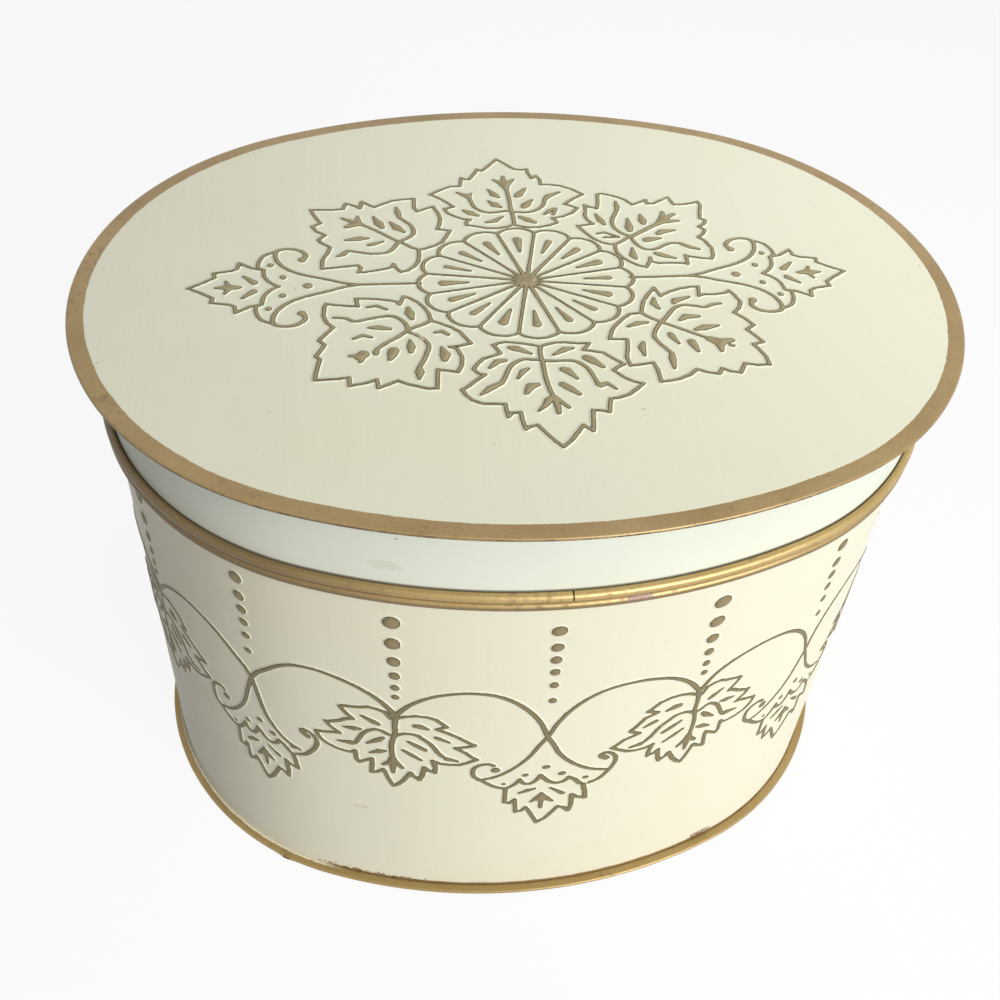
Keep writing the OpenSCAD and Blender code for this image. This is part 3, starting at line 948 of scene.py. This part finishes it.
back_left_leaf = leaf(
    LID_LINE, LID_VEIN,
    [
        (-26, 16), (-24.3, 16.3), (-21.4, 17.7), (-19.4, 19.2), (-18, 22), (-16.8, 24.6), (-20.2, 25.4),
        (-19.4, 27.7), (-18.9, 30.5), (-19.4, 33.7), (-20.4, 36.7), (-22.5, 35.8), (-24.9, 34.4),
        (-25.7, 36.2), (-25.4, 41), (-28, 40.8), (-31.5, 40.2), (-34, 38.8), (-36.5, 37.2), (-37.5, 37.8),
        (-39.9, 40.1), (-40.6, 36.8), (-42.2, 38.2), (-44.4, 39.4), (-45.2, 36.7), (-47.5, 36.3),
        (-50, 36.4), (-54, 36.6), (-53.3, 34), (-51.5, 29.8), (-53.8, 28.4), (-52.8, 26), (-50.4, 24),
        (-52.3, 21.8), (-51.5, 20.4), (-49.2, 18.2), (-49.8, 16), (-51.4, 12.5), (-51.6, 8.6), (-49.4, 8.7),
        (-46.6, 9.1), (-42.3, 9.6), (-41.5, 8.4), (-42.2, 6.4), (-41, 6.4), (-38, 7), (-35.1, 7.7),
        (-33.5, 8.4), (-33, 9.7), (-32.3, 7.6), (-31.3, 6), (-29.4, 6.7), (-27.7, 8.4), (-26.6, 10.4),
        (-26.1, 12.7),
    ],
    [
        [
            (-26, 16), (-27.7, 17), (-29.3, 18.6), (-30.9, 20), (-32.6, 21.4), (-35.1, 24), (-38.3, 26.9),
            (-40, 28.3),
        ],
        [
            (-30.3, 20.3), (-28.3, 21.7), (-26.9, 23.4), (-26.7, 25.7), (-27.4, 28), (-28.9, 30),
            (-30, 31.4),
        ],
        [
            (-31.3, 19.4), (-32.6, 16.9), (-34.3, 15.1), (-36.3, 14.7), (-38.6, 14.7), (-41.4, 15.4),
            (-44.6, 16.4),
        ],
    ],
    [
        [(-40.4, 28.6, 0.6), (-42, 29.3, 1.2)], [(-42, 29.5, 1), (-45.7, 32, 0.3)],
        [(-41.5, 29.8, 0.9), (-41.4, 32.6, 0.3)], [(-42, 29, 1), (-44.6, 27.7, 0.6)],
        [(-30.1, 32, 0.5), (-30.3, 33.9, 0.8), (-30.6, 36.7, 0.3)],
        [(-44.8, 16.2, 0.5), (-46, 14.7, 0.65), (-47.4, 14, 0.3)],
        [(-37.1, 32.3, 0.25), (-35.8, 28.8, 1.1), (-35, 27, 0.6)],
        [(-32.7, 29.4, 0.3), (-31.1, 26.6, 1.1), (-29.3, 24.5, 0.4)],
        [(-44.9, 21.4, 0.35), (-41.2, 21.9, 0.9), (-39, 21.9, 0.3)],
        [(-38.9, 18.8, 0.5), (-37.8, 19.1, 0.6), (-35.1, 20.3, 0.25)],
    ],
)
front_left_leaf = leaf(
    LID_LINE, LID_VEIN,
    [
        (-25.3, -15), (-23.1, -16.3), (-20.6, -18), (-18.6, -20), (-17.7, -22), (-16.4, -24.6),
        (-18.9, -25.4), (-21.7, -25.7), (-20, -26.6), (-19.1, -29.6), (-19.4, -32.6), (-20.6, -35.3),
        (-22.9, -34.7), (-25.3, -34.1), (-25.6, -36.6), (-26, -40.9), (-28, -40.9), (-30.3, -40),
        (-32.9, -38.9), (-34.9, -37.6), (-37.1, -38.7), (-39.7, -39.9), (-39.9, -36.9), (-42.3, -37.9),
        (-44.6, -38.4), (-46.3, -38.7), (-46.3, -35.7), (-50, -36.1), (-54.3, -36.1), (-54, -33.7),
        (-53.3, -30.3), (-52.9, -28.6), (-53.9, -27.4), (-52.6, -25.1), (-51.7, -23.1), (-53, -21.4),
        (-51.7, -19.4), (-49.4, -16.4), (-50.9, -14.6), (-51.7, -11.7), (-51.4, -8), (-50.9, -6.7),
        (-48.3, -7.3), (-45.1, -7.9), (-43.1, -8.1), (-43.4, -4.9), (-40.9, -5), (-38, -5.4), (-35.1, -6.1),
        (-33.4, -6.7), (-32.6, -7.9), (-31.4, -4.7), (-30, -5.3), (-28, -7.3), (-26.6, -9.6), (-25.7, -11.9),
    ],
    [
        [
            (-25.3, -15), (-27.1, -16.3), (-30.6, -18.1), (-33.7, -20.9), (-36.6, -23.1), (-39.1, -25.4),
            (-39.6, -27.1),
        ],
        [
            (-31.3, -18.3), (-31.7, -16), (-32.9, -14), (-34.9, -12.6), (-37.1, -12.7), (-40, -13.3),
            (-42.9, -14.1), (-44.6, -14.1), (-46, -13), (-49.1, -12.4),
        ],
        [
            (-30.9, -19.4), (-28.9, -20.9), (-27.4, -22.9), (-26.7, -25.1), (-27.4, -27.7), (-28.3, -30.3),
            (-29.3, -32.3),
        ],
    ],
    [
        [(-39.5, -26.4, 0.5), (-39.6, -27.1, 0.5)], [(-43.6, -28.2, 1.1), (-42.6, -27.3, 1.3)],
        [(-43.2, -28, 0.8), (-45.7, -27.7, 0.4)], [(-43, -28.4, 0.8), (-43.4, -30, 0.4)],
        [(-29.6, -33, 0.5), (-29.7, -34.9, 1), (-30, -37.3, 0.25)],
        [(-40.7, -17, 0.3), (-38.3, -17.1, 0.75), (-35.6, -17.8, 0.4)],
        [(-44.6, -21.1, 0.3), (-42.3, -19.9, 0.4), (-40.3, -20.9, 0.3)],
        [(-35.3, -26.4, 1.2), (-35.7, -27.6, 1.1), (-36.4, -29.7, 0.4)],
        [(-31.1, -22.5, 0.25), (-31, -25.1, 0.95), (-31.2, -27, 0.5)],
        [(-30.6, -9.5, 0.4), (-30.4, -11.7, 1.1), (-30, -14, 0.5)],
        [(-24.7, -19.9, 0.35), (-22.9, -19.5, 0.45), (-21.6, -20.9, 0.35)],
        [(-23.6, -25.8, 0.3), (-23.1, -28.6, 1.2), (-23.4, -30.5, 0.7)],
        [(-40.7, -8.6, 0.35), (-38.3, -8.2, 0.4), (-36, -9.8, 0.3)],
    ],
)
back_right_leaf = leaf(
    LID_LINE, LID_VEIN,
    [
        (27.1, 15.7), (25.7, 15.9), (23.7, 16.9), (21.7, 18.9), (20, 21.9), (18.5, 25.2), (20.6, 25.4),
        (23, 26), (21.7, 28), (21.4, 30.3), (22.1, 33.1), (22.3, 35.6), (23.7, 34.4), (25.4, 33.6),
        (26.1, 36), (26.9, 40.9), (28, 41.3), (30, 40.6), (32.3, 39.3), (34.3, 37.7), (35.9, 35.1),
        (37.7, 36), (40.3, 37.4), (40.3, 35.4), (42, 35.4), (44.3, 36.9), (46.9, 38.4), (47.4, 36.3),
        (47.9, 34.6), (50.9, 34.6), (53.7, 35.3), (55.1, 35.7), (55.3, 33.7), (54.3, 30.3), (53.6, 27.1),
        (54.9, 26.3), (54.3, 24.6), (52.3, 23.1), (53.7, 21.4), (52.6, 19.4), (50.9, 18), (52.3, 16.3),
        (53.4, 12.6), (53, 9.3), (52.1, 7.6), (49.4, 8.1), (46.6, 8.9), (45.4, 9.6), (45.1, 5.6),
        (43.7, 6.1), (40.3, 6.3), (37.4, 6.4), (35.4, 7.1), (35.6, 9.1), (34.9, 7), (33.6, 4.7), (31.7, 5.6),
        (29.4, 7.6), (27.9, 9.9), (26.9, 12.4),
    ],
    [
        [(27.1, 15.7), (29.1, 16.9), (31.1, 18.6), (32.3, 19.1), (35.4, 21.1), (38.3, 23.1), (41.1, 25.1)],
        [(32, 19.4), (30, 21.1), (28.6, 23.4), (28.3, 25.7), (28.9, 28.3), (30, 30.6), (30.9, 32.6)],
        [
            (32.3, 18.3), (33.1, 15.4), (34.6, 13.4), (36.3, 12.7), (38.3, 13.1), (40.6, 14.6), (42.9, 15.6),
            (45.1, 15.4),
        ],
    ],
    [
        [(32.3, 19.1, 0.5), (41.4, 25.4, 0.6)], [(41.4, 25.4, 0.8), (42.9, 26.9, 1.3)],
        [(42.8, 27, 1.1), (43.7, 30.9, 0.4)], [(43.4, 27.6, 0.9), (46.7, 29.7, 0.45)],
        [(43.2, 26.2, 0.9), (47.4, 26.3, 0.35)], [(31, 32.8, 0.5), (31.3, 34.3, 0.7), (31.4, 36.9, 0.25)],
        [(45.3, 15.2, 0.5), (47.1, 13.7, 0.7), (49.7, 12.3, 0.4)],
        [(24.6, 30.7, 0.3), (25.4, 27.4, 0.95), (26.1, 25.5, 0.4)],
        [(33.1, 28.1, 0.25), (32.7, 23.7, 1.1), (32.6, 22.2, 0.7)],
        [(37.1, 30, 0.25), (37.1, 26.9, 1.1), (37.1, 25.6, 0.7)],
        [(23.4, 21.1, 0.35), (25.4, 21.6, 0.35), (28.8, 19.3, 0.3)], [(24.9, 19.2, 0.3), (28.9, 19.1, 0.3)],
        [(40.2, 20.3, 0.7), (41.4, 21.2, 0.9), (45.1, 21.7, 0.3)],
        [(36.2, 17.3, 0.9), (37.2, 17.6, 1), (40.4, 18, 0.25)],
        [(31.6, 13.7, 0.25), (31.1, 10.3, 0.95), (31.5, 8.9, 0.5)],
        [(37.7, 10.8, 0.7), (39, 10, 0.8), (42.3, 8.4, 0.35)],
    ],
)
front_right_leaf = leaf(
    LID_LINE, LID_VEIN,
    [
        (28.1, -15), (25.1, -15.3), (22.9, -17.1), (20, -20.3), (19.1, -22), (17.9, -25.1), (22.3, -25.5),
        (21.9, -28.2), (20.8, -32.6), (21.1, -35.6), (24, -35.3), (26.9, -34.9), (27.4, -37.4), (27.3, -42),
        (29.4, -41.9), (32, -41.3), (34.9, -39.9), (37.1, -38), (39.4, -39.3), (42, -40.1), (43.3, -38.1),
        (45.1, -39.3), (47.4, -40), (49.4, -36.6), (52.3, -37.4), (55.4, -37.4), (55.3, -34.3),
        (54.4, -31.4), (53.4, -29.4), (56.3, -28.6), (54.9, -26), (53.4, -23.4), (55.7, -21.7),
        (54.3, -19.1), (52, -16.3), (53.7, -14.6), (54.9, -12), (54, -8.7), (53.1, -6.9), (51.7, -7.9),
        (48.9, -8.3), (46, -8.1), (44.6, -8.7), (45.4, -4.7), (43.1, -4.7), (40.3, -5.3), (37.4, -6.4),
        (35.1, -7.7), (34.6, -8.1), (33.6, -4.6), (31.7, -7), (29.7, -9.9), (28.6, -13),
    ],
    [
        [(28.1, -15), (29.7, -16.9), (32, -18.7), (33.7, -20), (36.6, -22), (39.4, -24), (42.3, -26)],
        [
            (32.6, -18.9), (34.3, -16.9), (36, -14.6), (37.7, -13), (40, -12.4), (42.9, -13), (45.1, -13.6),
            (47.1, -12.6), (49.4, -12.3),
        ],
        [(32, -19.4), (30.3, -22), (29.3, -24.6), (29.9, -27.1), (31.1, -29.4), (32.3, -31.7)],
    ],
    [
        [(43, -26.6, 0.9), (45.2, -28, 1.5)], [(45.2, -28, 1.3), (48.6, -27.4, 0.6)],
        [(45, -28.4, 1.2), (44.9, -31.4, 0.4)], [(47.6, -29.3, 0.4), (48.3, -29.6, 0.4)],
        [(32.2, -32.2, 0.6), (31.9, -33.7, 0.8), (31.6, -37.3, 0.3)],
        [(32.6, -9, 0.3), (32.1, -11.4, 0.85), (33, -13.5, 0.35)],
        [(37.3, -11.3, 0.5), (38, -10.3, 0.85), (41.9, -9, 0.3)],
        [(23.6, -20.4, 0.3), (26.3, -19.2, 0.7), (28.8, -19, 0.35)],
        [(37.3, -18.6, 0.35), (39.1, -17.2, 0.9), (42.4, -17.3, 0.45)],
        [(40.4, -22.7, 0.4), (42.9, -21.9, 1), (46.6, -21.4, 0.25)],
        [(33.6, -24.2, 0.7), (33.8, -25, 0.8), (34.9, -28, 0.25)],
        [(38.2, -27.5, 1), (38.5, -29, 0.9), (39, -31.2, 0.4)],
        [(26.1, -27, 0.4), (25.3, -28.8, 0.85), (25.4, -32.1, 0.25)],
    ],
)

side_lines = [
    curve([
        (43.0, 0.0, 0.36), (47.0, 0.9, 0.36), (51.0, 2.5, 0.34), (56.7, 4.6, 0.34), (60.8, 7.0, 0.34),
        (63.4, 10.0, 0.36), (64.5, 13.2, 0.36), (64.2, 15.6, 0.4), (62.6, 16.5, 0.4), (60.4, 16.6, 0.4),
        (58.0, 15.6, 0.4), (56.6, 13.6, 0.4), (57.3, 11.6, 0.5),
    ]),
    [(57.5, 11.6, 0.95), (57.3, 11.9, 0.75)],
    curve(drawn([(64.6, 15.4), (67.3, 13.8), (68.6, 10.9), (68.8, 8.4)], LID_LINE)),
    curve(drawn([(67.3, 7.4), (67.0, 4.4), (65.4, 1.6), (63.3, 0.0)], LID_LINE)),
    drawn([
        (68.8, 8.4), (67.3, 7.4), (70.2, 8.2), (73.6, 10.6), (74.0, 8.1), (75.4, 7.2), (79.8, 6.3),
        (79.5, 4.4), (82.2, 2.3), (85.8, 0.0),
    ], LID_LINE),
    [(75.6, 0.0, 0.85), (76.6, 2.6, 0.25)], [(72.2, 4.6, 0.3), (69.5, 1.9, 0.8)],
    [(62.3, 3.9, 0.72), (62.3, 4.0, 0.72)], [(65.6, 9.3, 0.66), (65.6, 9.4, 0.66)],
]
side_middle = [
    [(27.6, 0.0, 0.33), (35.0, 0.1, 0.36), (44.0, 0.0, 0.4)],
    [(73.0, 0.0, 0.4), (75.8, 0.0, 1.2), (79.0, 0.0, 0.25)],
    [(56.0, 0.0, 1.0), (56.1, 0.0, 1.0)],
]
SIDE_LENGTH = 85.8


def side_ornament(base, tip):
    """The side lines, set as (out, across) for one half, laid on the lid from a base to a tip."""
    along = Vector(tip) - Vector(base)
    scale = along.length / SIDE_LENGTH
    along.normalize()
    cross = Vector((along.y, -along.x))

    def laid(side):
        return lambda out, across: Vector(base) + along * (out * scale) + cross * (across * side)

    return moved(side_lines, laid(1)) + moved(side_lines, laid(-1)) + moved(side_middle, laid(1))


def on_lid(x, y, height):
    """Puts a point of the lid's ornament on the panel."""
    return Vector((x, y, LID_TOP + height)) * MM


lid_lines = back_leaf + front_leaf + back_left_leaf + front_left_leaf + back_right_leaf + front_right_leaf
lid_lines += shifted(rosette, *ROSETTE)
lid_lines += side_ornament((1.0, 0.3), (-85.2, 1.8)) + side_ornament((0.6, 0.6), (86.8, 0.0))
LID_CELL = 0.3
lid_pressing = pressing(lid_lines, (-88.0, -66.0), (90.0, 64.0), LID_CELL)
lid_ornament = pressed_out("lid_ornament", [(lid_pressing, on_lid)], lid_paint)
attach(lid_ornament, "lid")

# Floor: a plain white table top, bright to the camera and to reflections, which still takes the
# box's soft shadow.
FLOOR_HALF, FLOOR_UP = 4, -0.0003
corners = [(x * FLOOR_HALF, y * FLOOR_HALF, FLOOR_UP) for x, y in ((-1, -1), (1, -1), (1, 1), (-1, 1))]
floor_mesh = bpy.data.meshes.new("floor")
floor_mesh.from_pydata(corners, [], [(0, 1, 2, 3)])
floor = bpy.data.objects.new("floor", floor_mesh)
bpy.context.scene.collection.objects.link(floor)


def seen_directly(brush):
    """1 for the rays that show the backdrop itself, 0 for those that only light the box."""
    camera, glossy, through = (brush.make("LightPath", output=i) for i in (0, 3, 6))
    return camera.either(glossy).either(through)


floor_paint = bpy.data.materials.new("white_floor")
floor_paint.use_nodes = True
floor_paint.node_tree.nodes.clear()
brush = Dab(floor_paint.node_tree)
seen = seen_directly(brush)
matt = brush.make("BsdfDiffuse", None, {"Color": seen.over((0.3, 0.3, 0.3, 1), (0.9, 0.9, 0.9, 1))})
bright = brush.make("Emission", None, {"Color": (1, 1, 1, 1), "Strength": 1.0})
mixed = brush.make("MixShader", None, {0: seen * 0.9, 1: matt, 2: bright})
brush.make("OutputMaterial", None, {"Surface": mixed})
floor_mesh.materials.append(floor_paint)

# Light: a white room that fills the shadows, one large soft window to the right of the camera, and a
# small weak skylight above the right end, which leaves no glint.
world = bpy.data.worlds.new("white_room")
world.use_nodes = True
world.node_tree.nodes.clear()
brush = Dab(world.node_tree)
ROOM_LIGHT = 0.22
level = ROOM_LIGHT + seen_directly(brush) * (1 - ROOM_LIGHT)
room = brush.make("Background", None, {"Color": (1, 1, 1, 1), "Strength": level})
brush.make("OutputWorld", None, {"Surface": room})
bpy.context.scene.world = world


def soft_lamp(name, azimuth, elevation, distance, size, power, glints=True):
    """A square lamp aimed at the box; azimuth 0 is in front of it and 90 to its right."""
    turn, rise = math.radians(azimuth), math.radians(elevation)
    away = Vector((math.sin(turn) * math.cos(rise), -math.cos(turn) * math.cos(rise), math.sin(rise)))
    lamp = bpy.data.lights.new(name, "AREA")
    lamp.energy, lamp.size = power, size
    lamp_object = bpy.data.objects.new(name, lamp)
    lamp_object.location = away * distance + Vector((0, 0, 0.08))
    lamp_object.visible_camera = False
    lamp_object.visible_glossy = glints
    lamp_object.rotation_mode = "QUATERNION"
    lamp_object.rotation_quaternion = (-away).to_track_quat("-Z", "Y")
    bpy.context.scene.collection.objects.link(lamp_object)


soft_lamp("window", 29, 25, 1.1, 0.6, 11.0)
soft_lamp("skylight", 114, 63, 0.45, 0.2, 0.68, glints=False)

# Camera: held by hand close above the front of the box and a little askew, with the place, direction
# and lens that fit the edges of the lid, the hem and the base.
EYE = Vector((-47.466, -257.811, 347.517)) * MM
AIM = Vector((0.12139, 0.69243, -0.71120)).normalized()
ROLL = 0.069
SENSOR, LENS = 36.0, 43.829
level_right = AIM.cross(Vector((0, 0, 1))).normalized()
level_up = level_right.cross(AIM)
right = level_right * math.cos(ROLL) + level_up * math.sin(ROLL)
top = level_up * math.cos(ROLL) - level_right * math.sin(ROLL)
camera_data = bpy.data.cameras.new("camera")
camera_data.sensor_width, camera_data.lens = SENSOR, LENS
camera_data.clip_start = 0.01
camera = bpy.data.objects.new("camera", camera_data)
turned_to = Matrix((right, top, -AIM)).transposed().to_4x4()
camera.matrix_world = Matrix.Translation(EYE) @ turned_to
bpy.context.scene.collection.objects.link(camera)
bpy.context.scene.camera = camera
bpy.context.scene.view_settings.view_transform = "Standard"
